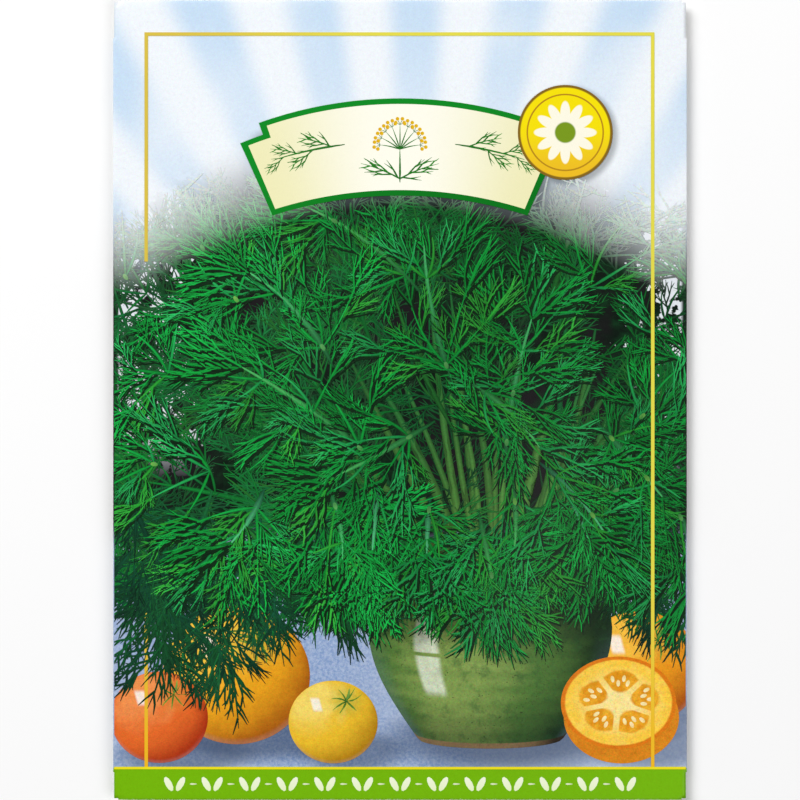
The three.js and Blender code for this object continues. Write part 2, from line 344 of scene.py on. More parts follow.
# print grain: the speckle of the halftone, and the tooth of the paper under the varnish
grain = bpy.data.node_groups.new("print grain", "ShaderNodeTree")
for way, key, kind in (
    ("INPUT", "Ink", "Color"), ("INPUT", "Speckle", "Float"), ("INPUT", "Tooth", "Float"),
    ("OUTPUT", "Color", "Color"), ("OUTPUT", "Roughness", "Float"), ("OUTPUT", "Height", "Float"),
):
    grain.interface.new_socket(key, in_out=way, socket_type="NodeSocket" + kind)
given = grain.nodes.new("NodeGroupInput")
ink, speckle, tooth = (Varying(given, key) for key in ("Ink", "Speckle", "Tooth"))
place = millimetres(grain)
coarse = noise(place, 1.7, 2.0, 0.6)
swing = maths("SUBTRACT", noise(place, 5.0, 1.0, output="Color"), (0.5, 0.5, 0.5), kind="VectorMath")
drift = (coarse - 0.5) * speckle + 1.0
level = maths("MULTIPLY_ADD", swing, speckle * 1.5, drift, kind="VectorMath")
fill(grain.nodes.new("NodeGroupOutput"), {
    "Color": maths("MULTIPLY", ink, level, kind="VectorMath"),
    "Roughness": coarse * 0.1 + 0.24,
    "Height": noise(place, 3.2, 3.0, 0.6) * tooth,
})

VARNISH_SPECULAR = 0.14


def new_material(name):
    """A material, and its finish to be filled in."""
    material = bpy.data.materials.new(name)
    material.use_nodes = True
    return material, material.node_tree.nodes["Principled BSDF"]


def relief(height, strength, depth):
    inputs = {"Strength": strength, "Distance": depth * MM, "Height": height}
    return Varying(add_node(height.tree, "Bump", inputs))


def ink_material(name, paint, speckle=0.35, tooth=0.004):
    """A printed finish. paint(place) gives the ink's colour."""
    material, finish = new_material(name)
    ink = paint(millimetres(material.node_tree))
    inputs = {"Ink": ink, "Speckle": speckle, "Tooth": tooth}
    printed = add_node(ink.tree, "Group", inputs, node_tree=grain)
    fill(finish, {
        "Base Color": Varying(printed, "Color"),
        "Roughness": Varying(printed, "Roughness"),
        "Specular IOR Level": VARNISH_SPECULAR,
        "Normal": relief(Varying(printed, "Height"), 0.5, 1),
    })
    return material


LABEL = Record(middle=36.35, half=20.2, tall=12.4, arc=60.0, slant=0.37, border=0.8, step=(3.0, 1.9))
SEAL = Record(x=23.75, y=38.45, radius=6.82)
LABEL_SHADOW_OFF = (0.5, -0.5)
SEAL_SHADOW_OFF = (0.45, -0.45)
RAYS = Record(x=2.3, y=-17, pitch=math.radians(11.4), fade=(34, 78))
STRIP_TOP = -52.9
BACK_STRIP_TOP = -54.5
LIME = "#76b803"
CLOTH_TOP = -20
CLOTH_SHADOWS = [
    (15, -48.5, 17, 5, 0.75), (-20, -48, 12, 4, 0.7), (-31, -51, 10, 3, 0.6),
    (-7, -50.5, 8, 3, 0.6), (36, -50, 9, 3, 0.5), (35, -45.5, 10, 3.5, 0.6),
]
HAZE = Record(start=15.5, end=30.5, lift=12.2, centre=-0.5, half_width=37)


def haze_share(x, y):
    """How far the mist above the leaves hides them: it comes lower at the sides."""
    middle = 1 - np.clip(np.abs(x - HAZE.centre) / HAZE.half_width, 0, 1) ** 2
    return ease(y - HAZE.lift * middle, HAZE.start, HAZE.end)


def haze_paint(place, x, y):
    """The same mist for the ground behind the leaves, with a wandering edge."""
    aside = maths("MINIMUM", abs(x - HAZE.centre) / HAZE.half_width, 1.0)
    wander = noise(place, 0.11, 3.0) * 3.0 - 1.5
    level = y - (1.0 - aside * aside) * HAZE.lift + wander
    return maths("POWER", ramp(level, HAZE.start, HAZE.end), 0.8)


def label_place(across, up):
    """Where a point of the label lies: its middle line is arched, and its ends slant outwards."""
    x = across * (1 + LABEL.slant * up / LABEL.half)
    return x, LABEL.middle - LABEL.arc + np.sqrt(LABEL.arc ** 2 - x * x) + up


def shadow_paint(x, y):
    """The soft shadow that is printed beside the label and the seal."""
    arch = maths("SQRT", LABEL.arc ** 2 - x * x)
    up = y - (LABEL.middle - LABEL.arc + LABEL_SHADOW_OFF[1]) - arch
    across = (x - LABEL_SHADOW_OFF[0]) / (up * (LABEL.slant / LABEL.half) + 1.0)
    end, edge = LABEL.half + LABEL.border, LABEL.tall / 2 + LABEL.border
    ends = ramp(across, end + 0.9, end - 0.2) * ramp(across, 0.2 - end, 2.5 - end)
    sides = ramp(up, -edge - 1.0, 0.2 - edge) * ramp(up, edge, edge - 2.0)
    off_x = x - (SEAL.x + SEAL_SHADOW_OFF[0])
    off_y = y - (SEAL.y + SEAL_SHADOW_OFF[1])
    disc = ramp(distance(off_x, off_y), SEAL.radius + 0.9, SEAL.radius - 0.3)
    return maths("MAXIMUM", ends * sides, disc)


def sky_paint(place, x, y):
    """A pale sky, with soft rays that spread from behind the leaves."""
    beside, up = x - RAYS.x, y - RAYS.y
    wave = maths("COSINE", maths("ARCTAN2", beside, up) * (math.tau / RAYS.pitch))
    ray = ramp(wave, -0.9, 0.85) * ramp(distance(beside, up), *RAYS.fade)
    cloud = ramp(noise(place, 0.035), 0.2, 0.5)
    return mixed(ray * cloud, "#f2f7fc", "#c8dff5")


def ground_paint(place, x, y):
    """The dark depth behind the leaves. At the sides, gaps in it show the pale sky."""
    outer = ramp(abs(x - 3.0), 24, 38)
    gaps = ramp(noise(place, 0.45, 3.0, 0.65) + outer * 0.28, 0.73, 0.78)
    return layered(
        "#05150b",
        (ramp(noise(place, 0.42, 4.0, 0.62), 0.4, 0.72), "#0b3419"),
        (ramp(noise(place, 0.12), 0.42, 0.6), "#171517"),
        (gaps * ramp(y, -12, -2) * ramp(abs(x), 40.8, 40.2), "#e4e9ee"),
    )


def cloth_paint(place, x, y):
    """A pale blue cloth with soft folds, and a shadow under each thing that stands on it."""
    cloth = layered(
        "#829dca",
        (ramp(noise(place, 2.4, 3.0, 0.75), 0.32, 0.68), "#afc0de"),
        (ramp(noise(place, 0.05), 0.35, 0.65) * 0.5, "#c3cde0"),
    )
    for middle_x, middle_y, wide, high, depth in CLOTH_SHADOWS:
        off_x, off_y = (x - middle_x) / wide, (y - middle_y) / high
        shade = ramp(off_x * off_x + off_y * off_y, 1.5, 0.2) * depth
        cloth = mixed(shade, cloth, "#2c3f5e")
    return cloth


def front_paint(place):
    x, y, z = parts(place)
    ragged = y + noise(place, 0.16, 3.0) * 7.0 - 3.5
    on_front = z > (FRONT_Z + CLOSING_FLAP_Z) / 2
    fold_x = ramp(abs(x), FRONT_HALF + 0.1, packet_high[0] - 0.02)
    fold_y = ramp(abs(y), FRONT_HIGH + 0.15, packet_high[1] - 0.02)
    cracks = maths("MAXIMUM", fold_x, fold_y) * ramp(noise(place, 2.2, 4.0, 0.7), 0.5, 0.62)
    return layered(
        ground_paint(place, x, y),
        (haze_paint(place, x, y), sky_paint(place, x, y)),
        (ramp(ragged, CLOTH_TOP + 2.5, CLOTH_TOP - 2.5), cloth_paint(place, x, y)),
        (shadow_paint(x, y) * on_front * 0.5, "#2c3a3c"),
        (y < STRIP_TOP, LIME),
        (cracks * 0.6, "#f2f2ec"),
    )


def back_paint(place):
    white = mixed(noise(place, 0.6, 3.0), "#f7f8f4", "#eef1ea")
    return mixed(parts(place)[1] < BACK_STRIP_TOP, white, LIME)


def bare_paint(place):
    return mixed(noise(place, 1.1, 4.0, 0.7), "#f4f3ee", "#e4e3dc")


for name, *finish in (
    ("printed front", front_paint, 0.12),
    ("printed back", back_paint, 0.05),
    ("bare paper", bare_paint, 0.1, 0.012),
):
    envelope_mesh.materials.append(ink_material(name, *finish))

# The dill leaves in the picture.
# Ink, printed over the dark ground: feathery fronds, each a stalk with side stalks that carry
# tufts of fine threads. They lie in layers, the far ones dark and the near ones bright.

INK_LIFT = 0.016
INK_LAYER = 0.009
INK_ROOT = 0.03
EDGE_X = 41.08
STRIP_EDGE = STRIP_TOP + 0.2
THREAD_TAPER = 0.75
RIDGE = 0.006
EDGE_SHADE = (0.2, -0.42)
TUFT_LENGTH = 9.4
THREAD_WIDTH = 0.36
THREAD_STEP = 2.6
SIDE_THREADS = 7
SPRAY = Record(
    last=0.8, turn=(0.45, 0.78), bend=(0.1, 0.7),
    least=0.2, gain=0.4, forks=((0.42, -0.42), (0.68, 0.4)),
)
FAN = Record(
    last=0.5, turn=(0.12, 0.62), bend=(0.2, 1.2),
    least=0.34, gain=0.42, forks=((0.45, -0.34), (0.7, 0.32)),
)
MIST = colour("#e4ecea")
MIST_SPREAD = 0.58


def points_and_faces(shape):
    points = np.array([corner.co[:] for corner in shape.verts])
    faces = [[corner.index for corner in face.verts] for face in shape.faces]
    shape.free()
    return points, faces


def strand(cuts):
    """A slim closed strand along X, one long and one wide, with a low bright ridge along its top."""
    shape = bmesh.new()
    made = bmesh.ops.create_cone(shape, cap_ends=True, segments=3, radius1=1, radius2=1, depth=1)
    laid = Matrix(((0, 0, 1), (0.5 / math.sin(math.pi / 3), 0, 0), (0, RIDGE / 1.5, 0)))
    bmesh.ops.transform(shape, matrix=laid.to_4x4(), verts=made["verts"])
    if cuts:
        lengthwise = [edge for edge in shape.edges if np.ptp([corner.co.x for corner in edge.verts]) > 0.5]
        bmesh.ops.subdivide_edges(shape, edges=lengthwise, cuts=cuts)
    points, faces = points_and_faces(shape)
    on_ridge = points[:, 2] > 0
    along = points[:, 0] + 0.5
    across = points[:, 1] * (1 - THREAD_TAPER * along ** 2)
    points = np.stack([along, across, np.where(on_ridge, 0, -RIDGE)], 1)
    return Record(points=points, faces=faces, along=along, shade=np.where(on_ridge, *EDGE_SHADE))


def stalk():
    """A strand that swells from a slim foot and thins again to its tip."""
    shape = strand(7)
    shape.points[:, 1] *= 0.35 + 0.65 * ease(shape.along, 0, 0.25)
    return shape


def dot():
    """A small flat disc of ink, one across."""
    shape = bmesh.new()
    bmesh.ops.create_cone(shape, cap_ends=True, segments=10, radius1=0.5, radius2=0.5, depth=INK_ROOT)
    points, faces = points_and_faces(shape)
    points[:, 2] -= INK_ROOT / 2
    return Record(points=points, faces=faces, along=points[:, 0] + 0.5, shade=np.zeros(len(points)))


def on_arc(distance, root, heading, length, bend, aside=0):
    """The point at a distance along an arc that turns by bend over its length, and aside from it."""
    bend = np.where(np.abs(bend) < 1e-3, 1e-3, bend)
    turned = heading + bend * distance / length
    at_x = root[0] + length / bend * (np.sin(turned) - np.sin(heading)) - aside * np.sin(turned)
    at_y = root[1] - length / bend * (np.cos(turned) - np.cos(heading)) + aside * np.cos(turned)
    return at_x, at_y


def placed(shape, spots):
    """Copies of a shape, one at each spot: x, y, heading, length, width, bend, lift."""
    x, y, heading, length, width, bend, lift = (column[:, None] for column in np.array(spots).T)
    along, across, height = shape.points.T
    at_x, at_y = on_arc(along * length, (x, y), heading, length, bend, across * width)
    return np.stack([at_x, at_y, height + lift], 2)


def joined(shapes):
    """Several shapes as one."""
    faces, first = [], 0
    for shape in shapes:
        faces += [[corner + first for corner in face] for face in shape.faces]
        first += len(shape.points)
    points, along, shade = (
        np.concatenate([getattr(shape, key) for shape in shapes]) for key in ("points", "along", "shade")
    )
    return Record(points=points, faces=faces, along=along, shade=shade)


def tuft(kind, habit, thread_width=THREAD_WIDTH):
    """A feathery spray from one point: a middle thread with side threads in turn, each forked."""
    draw = random.Random(kind)
    width = thread_width / TUFT_LENGTH
    spots = [(0, 0, 0, 1, width, 0, 0)]
    side = draw.choice((-1, 1))
    for step in range(SIDE_THREADS):
        start = 0.06 + (habit.last - 0.06) * (step + draw.uniform(-0.4, 0.4)) / (SIDE_THREADS - 1)
        turn = side * draw.uniform(*habit.turn)
        long = (habit.least + habit.gain * (1 - start)) * draw.uniform(0.85, 1.15)
        bend = -turn * draw.uniform(*habit.bend)
        spots.append((start, 0, turn, long, width, bend, 0))
        for at, lean in habit.forks:
            if start > 0.5 or draw.random() < 0.25:
                continue
            fork = on_arc(long * at, (start, 0), turn, long, bend)
            fork_turn = turn + side * lean * draw.uniform(0.8, 1.2)
            reach = long * (0.92 - at) * draw.uniform(0.9, 1.3)
            spots.append((*fork, fork_turn, reach, width * 0.9, bend, 0))
        side = -side if draw.random() < 0.8 else side
    threads = []
    for spot in spots:
        thread = strand(int(spot[3] * TUFT_LENGTH / THREAD_STEP))
        thread.points = placed(thread, [spot])[0]
        thread.shade += draw.uniform(-0.25, 0.25)
        thread.along = thread.points[:, 0]
        threads.append(thread)
    return joined(threads)


def tone_pair(root, tip, strength=1.0):
    return colour(root) * strength, colour(tip) * strength


class Copies:
    """Copies of one shape in ink, each with its place, its size and its tones at root and tip."""

    def __init__(self, shape):
        self.shape, self.spots, self.tones = shape, [], []

    def add(self, root, heading, length, width, bend, layer, tones):
        self.spots.append((*root, heading, length, width, bend, layer * INK_LAYER))
        self.tones.append(tones)


def on_face(x, y, height, on_back):
    """Points at a height over the front, or over the back, where the drawing is mirrored."""
    if on_back:
        return np.stack([-x, y, back_height(-x, y) - height], 1) * MM
    return np.stack([x, y, front_height(x, y) + height], 1) * MM


def trim(mesh):
    """Cuts off what runs past the packet's sides, and what reaches into the strip."""
    shape = bmesh.new()
    shape.from_mesh(mesh)
    for x, y, normal in ((EDGE_X, 0, (1, 0, 0)), (-EDGE_X, 0, (-1, 0, 0)), (0, STRIP_EDGE, (0, -1, 0))):
        made = cut_through(shape, (x * MM, y * MM, 0), normal, dist=1e-7, clear_outer=True)
        cut = [item for item in made["geom_cut"] if isinstance(item, bmesh.types.BMEdge)]
        bmesh.ops.holes_fill(shape, edges=cut, sides=0)
    shape.to_mesh(mesh)
    shape.free()


def on_packet(mesh):
    piece = add_object(mesh.name, mesh)
    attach(piece, "root")
    return piece


def printed_copies(name, groups, material, misted=False, on_back=False):
    """One piece of ink made of copies. Misted ones grow pale as the haze above them does."""
    corners, tints, faces, first = [], [], [], 0
    for group in (group for group in groups if group.spots):
        shape, points = group.shape, placed(group.shape, group.spots)
        roots, tips = (np.array(side)[:, None, :] for side in zip(*group.tones))
        along, shade = shape.along[None, :, None], shape.shade[None, :, None]
        tint = (roots + (tips - roots) * np.clip(along, 0, 1)) * (1 + shade)
        mist = haze_share(points[:, :, 0], points[:, :, 1])[:, :, None] ** MIST_SPREAD * misted
        tints.append((tint + (MIST - tint) * mist).reshape(-1, 3))
        corners.append(points.reshape(-1, 3))
        for start in range(first, first + len(corners[-1]), len(shape.points)):
            faces += [[corner + start for corner in face] for face in shape.faces]
        first += len(corners[-1])
    x, y, height = np.concatenate(corners).T
    mesh = bpy.data.meshes.new("printed_" + name)
    mesh.from_pydata(on_face(x, y, height + INK_LIFT, on_back), [], faces)
    ink = mesh.color_attributes.new("ink", "FLOAT_COLOR", "POINT")
    ink.data.foreach_set("color", np.column_stack([np.concatenate(tints), np.ones(first)]).ravel())
    mesh.materials.append(material)
    mesh.validate()
    if misted:
        trim(mesh)
    mesh.shade_flat()
    return on_packet(mesh)


def attribute(place, name, output):
    """What a printed mesh holds for each of its corners."""
    return Varying(add_node(place.tree, "Attribute", attribute_name=name), output)


def corner_paint(place):
    return attribute(place, "ink", "Color")


leaf_ink = ink_material("leaf ink", corner_paint, 0.4)
SPRAYS, FANS = [tuft(kind, SPRAY) for kind in range(5)], [tuft(kind, FAN) for kind in (11, 12, 13)]
STALK, DOT = stalk(), dot()
MIST_HIDES = (0.8, 0.93)
MIST_THINS = 0.3
BLEED = 3
NODE_GAP, TUFT_GAP = 7.5, 3.9
STALK_WIDTH, SIDE_STALK_WIDTH = 0.85, 0.42
TRIES = 40
POT = Record(x=13, foot=-48.5, rim=-22, foot_half=10.5, belly=7.0, neck=3.4)
POT_LAYER = 1.4
LEFT_LIGHT = 0.36
DEEP_SHADE = [
    (24, 4, 10, 8), (32, 17, 7, 7), (7, 13, 8, 5), (-13, 3, 7, 5), (15, -8, 9, 5),
    (-30, -12, 7, 6), (-24, 14, 6, 4), (-35, 15, 7, 8), (38, 14, 4, 8),
]
STALK_TONES = [("#0b3a1c", "#3c9a58"), ("#0d4420", "#3f9a50"), ("#0b3c26", "#44a068")]
JOINT_TONES = [("#3f7a34", "#5f9440"), ("#356f38", "#4a8648")]
SHADOW_OFF = (0.22, -0.42)
SHADOW_TONES = tone_pair("#0a2611", "#0a2611")
draw = random.Random(21)


def pot_half(height):
    """Half the pot's width, at a share of its height."""
    belly_half = POT.foot_half + POT.belly * np.sin(math.pi / 2 * np.minimum(height / 0.6, 1))
    return belly_half - POT.neck * ease(height, 0.6, 0.9) + 1.0 * ease(height, 0.9, 0.93)


def is_covered(layer, x, y):
    """Whether the label, or for the far leaves the pot, hides a point."""
    up = y - label_place(x, 0)[1]
    if abs(up) < LABEL.tall / 2 and abs(x) < LABEL.half + LABEL.slant * up:
        return True
    if layer > POT_LAYER or not POT.foot < y < POT.rim:
        return False
    height = (y - POT.foot) / (POT.rim - POT.foot)
    return abs(x - POT.x) < pot_half(height) - 0.5


def is_sparse(x, y):
    """Whether a point lies in the mist, or where the eye looks deep in between the stalks."""
    deep = (((x - at_x) / wide) ** 2 + ((y - at_y) / high) ** 2 < 1 for at_x, at_y, wide, high in DEEP_SHADE)
    return haze_share(x, y) > MIST_THINS or any(deep)


def away_from_pot(x, y):
    heading = math.atan2(y - POT.rim + 10, x - POT.x)
    return heading + draw.uniform(-0.6, 0.6)


def strewn(count, across, up, apart):
    """Places strewn over a field, none closer to another than a least distance."""
    spots = []
    for _ in range(count * TRIES):
        spot = (draw.uniform(*across), draw.uniform(*up))
        if all(math.dist(spot, other) > apart for other in spots):
            spots.append(spot)
        if len(spots) == count:
            break
    return spots


class Fronds:
    """The tufts, stalks and joints of one printed layer of leaves."""

    def __init__(self, layer, tones, size, shapes, thinned=0.0, shadows=False):
        self.layer, self.tones, self.size = layer, tones, size
        self.thinned, self.shadows = thinned, shadows
        self.tufts = [Copies(shape) for shape in shapes]
        self.stalks, self.joints = Copies(STALK), Copies(DOT)

    def tone(self, strength, tones=None):
        return tone_pair(*draw.choice(tones or self.tones), strength)

    def fits(self, root, heading, length, bend):
        """Whether it starts and ends on the picture, clear of the label, the pot and thick mist."""
        tip = on_arc(length, root, heading, length, bend)
        inner, outer = sorted((abs(root[0]), abs(tip[0])))
        if inner > EDGE_X or outer > EDGE_X + BLEED or min(root[1], tip[1]) < STRIP_EDGE:
            return False
        if is_covered(self.layer, *tip) or is_covered(self.layer, *root):
            return False
        return haze_share(*root) < MIST_HIDES[0] and haze_share(*tip) < MIST_HIDES[1]

    def add_tuft(self, root, heading, length, strength):
        x, y = root
        bend = draw.uniform(-0.5, 0.5)
        layer = self.layer + draw.random() * 0.8
        tones = self.tone(strength * draw.uniform(0.75, 1.25))
        if not self.fits(root, heading, length, bend):
            return
        middle = (x + 0.5 * length * math.cos(heading), y + 0.5 * length * math.sin(heading))
        if draw.random() < self.thinned and is_sparse(*middle):
            return
        tufts = draw.choice(self.tufts)
        tufts.add(root, heading, length, length, bend, layer, tones)
        if self.shadows and haze_share(x, y) < 0.3:
            under = (x + SHADOW_OFF[0], y + SHADOW_OFF[1])
            tufts.add(under, heading, length, length * 1.04, bend, layer - 0.05, SHADOW_TONES)

    def add_stalk(self, root, heading, length, width, bend, strength):
        if self.fits(root, heading, length, bend):
            layer = self.layer + 0.25 + 0.55 * draw.random()
            tones = self.tone(strength, STALK_TONES if self.shadows and width > 0.6 else None)
            self.stalks.add(root, heading, length, width, bend, layer, tones)

    def add_joint(self, root, heading, strength):
        """The pale swelling where side stalks leave a stalk."""
        if draw.random() < 0.6 and self.fits(root, heading, 0.5, 0):
            tones = self.tone(strength, JOINT_TONES)
            self.joints.add(root, heading, 1.1, 0.6, 0.01, self.layer + 0.85, tones)

    def add_side_stalk(self, root, heading, length, bend, strength):
        """A side stalk with tufts to each side in turn, and one at its tip."""
        self.add_stalk(root, heading, length, SIDE_STALK_WIDTH * self.size, bend, strength)
        count = max(1, round(length / (TUFT_GAP * self.size)))
        for k in range(count):
            at = (k + 0.6) / (count + 0.4)
            base = on_arc(length * at, root, heading, length, bend)
            lean = (-1) ** k * draw.uniform(0.4, 0.8)
            size = draw.uniform(0.5, 0.8) * TUFT_LENGTH * (1 - 0.2 * at) * self.size
            self.add_tuft(base, heading + bend * at + lean, size, strength)
        tip = on_arc(length, root, heading, length, bend)
        self.add_tuft(tip, heading + bend, draw.uniform(0.7, 1.0) * TUFT_LENGTH * self.size, strength)

    def grow(self, root, heading, length, bend, strength=1.0):
        """One frond: a stalk, and at each joint on it a few side stalks that fan out."""
        lit = float(ease(-root[0], -8, 14) * (1 - 0.7 * ease(-root[0], 30, 40)))
        strength *= 1 + LEFT_LIGHT * lit
        self.add_stalk(root, heading, length, STALK_WIDTH * self.size, bend, strength)
        joints = max(2, round(length / (NODE_GAP * self.size)))
        for joint in range(joints):
            share = (joint + draw.uniform(0.35, 0.65)) / joints
            base = on_arc(length * share, root, heading, length, bend)
            here = heading + bend * share
            if self.shadows:
                self.add_joint(base, here, strength)
            for side in (-1, 1):
                for lean, long in ((0.5, 1.0), (1.15, 0.75)):
                    way = here + side * lean * draw.uniform(0.8, 1.2)
                    span = (3.5 + 4.5 * (1 - share)) * long * draw.uniform(0.8, 1.25) * self.size
                    self.add_side_stalk(base, way, span, -side * draw.uniform(-0.2, 0.7), strength)
        tip = on_arc(length, root, heading, length, bend)
        for lean in (-0.6, 0, 0.6):
            self.add_tuft(tip, heading + bend + lean, TUFT_LENGTH * self.size, strength)

    def spread(self, spots, length, bend, strength=1.0, heading=None):
        """A frond at each spot, away from the pot or within a range of headings."""
        for root in spots:
            way = draw.uniform(*heading) if heading else away_from_pot(*root)
            self.grow(root, way, draw.uniform(*length), draw.uniform(-bend, bend), strength)

    def piece(self, name):
        return printed_copies(name, [self.stalks, self.joints, *self.tufts], leaf_ink, misted=True)


FAR = [("#0a3218", "#104722"), ("#0a2814", "#0e3a1b"), ("#0b381b", "#125025"), ("#15301a", "#184423")]
MIDDLE = [("#07451a", "#0c5922"), ("#074c1c", "#0b6225"), ("#0a4822", "#105c2a"), ("#154a1c", "#1b5c22")]
NEAR = [
    ("#066222", "#0a7c2e"), ("#076a25", "#0c8a33"), ("#086c28", "#10923a"),
    ("#0c6830", "#239a4e"), ("#167020", "#2a8a2e"),
]
HANGING = [("#0f4a24", "#0c2f1b"), ("#11572b", "#0e301d"), ("#0c442b", "#092418")]

far_leaves = Fronds(0.4, FAR, 0.9, SPRAYS, thinned=0.5)
far_leaves.spread(strewn(44, (-44, 44), (-26, 24), 7.4), (14, 22), 0.6, 1.2)
far_leaves.spread(strewn(14, (-43, 43), (-20, -13), 4.5), (6, 9), 0.6, heading=(-2.3, -0.8))
far_leaves.piece("leaves_far")

middle_leaves = Fronds(3.4, MIDDLE, 1.0, SPRAYS, thinned=0.85)
middle_leaves.spread(strewn(27, (-43, 43), (-20, 20), 9.2), (16, 26), 0.7, 1.2)
middle_leaves.spread(strewn(12, (-42, 42), (-19, -12), 5), (6, 9), 0.6, 1.25, heading=(-2.3, -0.8))
middle_leaves.piece("leaves_middle")

near_leaves = Fronds(5.2, NEAR, 1.15, SPRAYS[:2] + FANS, thinned=0.35, shadows=True)
near_leaves.spread(strewn(16, (-40, 40), (-16, 16), 12.5), (18, 30), 0.8, 1.18)
near_leaves.spread(strewn(8, (-24, 40), (-16, -9), 6), (8, 12), 0.6, 1.2, heading=(-2.2, -0.9))
near_leaves.piece("leaves_near")

HANGING_FROM = [(-39, -14), (-33, -16), (-27, -13), (-20, -17), (-14, -14), (-36, -22), (-24, -22), (37, -17)]
hanging_leaves = Fronds(4.6, HANGING, 1.05, SPRAYS[:3] + FANS[:1])
hanging_leaves.spread(HANGING_FROM, (10, 15), 0.4, heading=(-1.9, -0.95))
hanging_leaves.piece("leaves_hanging")

# The pot and the fruit in the picture.
# Ink as well: a green glazed pot that holds the stems, with round tomatoes on the cloth, one of
# them cut in half. Each is a flat shape, with its light and shade painted in.


def disc_shape(cells):
    """A flat grid, rounded into a disc."""
    shape = grid_shape(cells, cells)
    for corner in shape.verts:
        u, v, _ = corner.co
        corner.co = (u * math.sqrt(1 - v * v / 2), v * math.sqrt(1 - u * u / 2), 0)
    return shape


def laid_at(x, y, half_x, half_y):
    """Lays a shape around a point, at half its width and half its height."""
    return lambda u, v: (x + half_x * u, y + half_y * v)


def printed(name, shape, lay_out, layer, material, on_back=False, cut=False):
    """A flat shape as ink on a face. lay_out turns its own coordinates into millimetres."""
    mesh = mesh_of("printed_" + name, shape)
    own = points_of(mesh)
    mesh.attributes.new("chart", "FLOAT_VECTOR", "POINT").data.foreach_set("vector", own.ravel())
    lift = INK_LIFT + layer * INK_LAYER
    places = on_face(*lay_out(own[:, 0], own[:, 1]), lift, on_back)
    mesh.vertices.foreach_set("co", places.ravel())
    mesh.materials.append(material)
    mesh.update()
    if cut:
        trim(mesh)
    piece = on_packet(mesh)
    thicken(piece, "ink", lift)
    return piece


def chart(place):
    """A printed shape's own coordinates: across, up, and how far from its middle."""
    u, v, _ = parts(attribute(place, "chart", "Vector"))
    return u, v, distance(u, v)


def pot_place(u, v):
    height = (v + 1) / 2
    half = pot_half(height)
    sag = 0.15 * half * np.sqrt(np.maximum(1 - u * u, 0))
    return POT.x + u * half, POT.foot + height * (POT.rim - POT.foot) - sag


def pot_paint(place):
    """A green glaze over turned clay, lit from the left, with the window's gleam and leaf shade."""
    u, v, _ = chart(place)
    clouds, pooled = noise(place, 0.16, 4.0, 0.6), noise(place, 0.5, 4.0, 0.65)
    rings = maths("SINE", v * 34.0 + clouds * 5.0)
    lit = 0.75 - (u + 0.3) * (u + 0.3) + clouds * 0.5 + rings * 0.045
    bounce = ramp(abs(u), 0.8, 0.97) * ramp(v, 0.4, -0.4)
    pane = ramp(abs(u + v * 0.06 + 0.52), 0.12, 0.07) * ramp(v, -0.42, -0.3)
    bar = ramp(abs(v - 0.08), 0.012, 0.03)
    clay = mixed(ramp(lit, -0.5, 0.7), "#2c2418", "#7a6446")
    return layered(
        "#142e12",
        (ramp(lit, -0.45, 0.62), "#4c7232"),
        (ramp(lit, 0.55, 1.1), "#86a052"),
        (ramp(pooled, 0.5, 0.68) * 0.45, "#2c5a2a"),
        (ramp(noise(place, 2.6, 1.0), 0.7, 0.76) * 0.7, "#2a2c14"),
        (ramp(v, -0.3, -1.0) * 0.6, "#10281c"),
        (bounce * 0.14, "#7f96a8"),
        (pane * bar * (clouds * 0.9 + 0.25), "#e4ecd4"),
        (ramp(v + pooled * 0.5, 0.25, 0.75) * 0.72, "#0e2412"),
        (ramp(v, -0.93, -0.945), clay),
    )


def mouth_paint(place):
    return mixed(ramp(chart(place)[1], -0.4, 0.9), "#151c12", "#3a4d22")


POT_MOUTH = Record(half=14.2, tall=2.7, drop=0.4)
STEMS = Record(count=26, spread=9, drop=2.2, lean=0.9, length=(27, 42), width=(0.9, 1.7), room=2)
mouth_place = laid_at(POT.x, POT.rim - POT_MOUTH.drop, POT_MOUTH.half, POT_MOUTH.tall)
mouth_ink = ink_material("pot mouth ink", mouth_paint, 0.3)
printed("pot_mouth", disc_shape(24), mouth_place, 0.8, mouth_ink)
printed("pot", grid_shape(36, 30), pot_place, POT_LAYER, ink_material("pot ink", pot_paint, 0.5))

stems = Copies(STALK)
for _ in range(STEMS.count):
    across = draw.uniform(-0.8, 0.8)
    root = (POT.x + STEMS.spread * across, POT.rim - STEMS.drop + draw.uniform(-1, 1))
    heading = math.pi / 2 - across * STEMS.lean + draw.uniform(-0.12, 0.12)
    room = (EDGE_X - STEMS.room - abs(root[0])) / max(abs(math.cos(heading)) + 0.18, 0.3)
    length, width = min(draw.uniform(*STEMS.length), room), draw.uniform(*STEMS.width)
    bend, layer = draw.uniform(-0.35, 0.35), 2.2 + draw.random()
    tones = [colour(code) * draw.uniform(0.6, 1.1) for code in ("#56863a", "#1d6a33")]
    stems.add(root, heading, length, width, bend, layer, tones)
printed_copies("stems", [stems], leaf_ink)

CROWN = (0.3, 0.5)
SQUASH = 0.94
SEPALS = 7
SEPAL_TONES = tone_pair("#2f5a1c", "#6d9a35")
STUB_TONES = tone_pair("#4a7a2c", "#86ac48")
TOMATOES = [
    ("golden", -23.5, -39.5, 10.6, 1.4, ("#a85a0c", "#eda51c", "#f9cc46", "#c9b03a")),
    ("amber", -34.6, -45.6, 7.0, 2.0, ("#a8300e", "#e66a28", "#f49450", "#d98a3a")),
    ("lemon", -9.6, -46.2, 6.4, 2.6, ("#b07c0c", "#efc02c", "#fade6c", "#b9b440")),
    ("orange", 34.4, -38.6, 8.8, 0.9, ("#a8500c", "#f09c1a", "#fac040", "#d0a63a")),
]


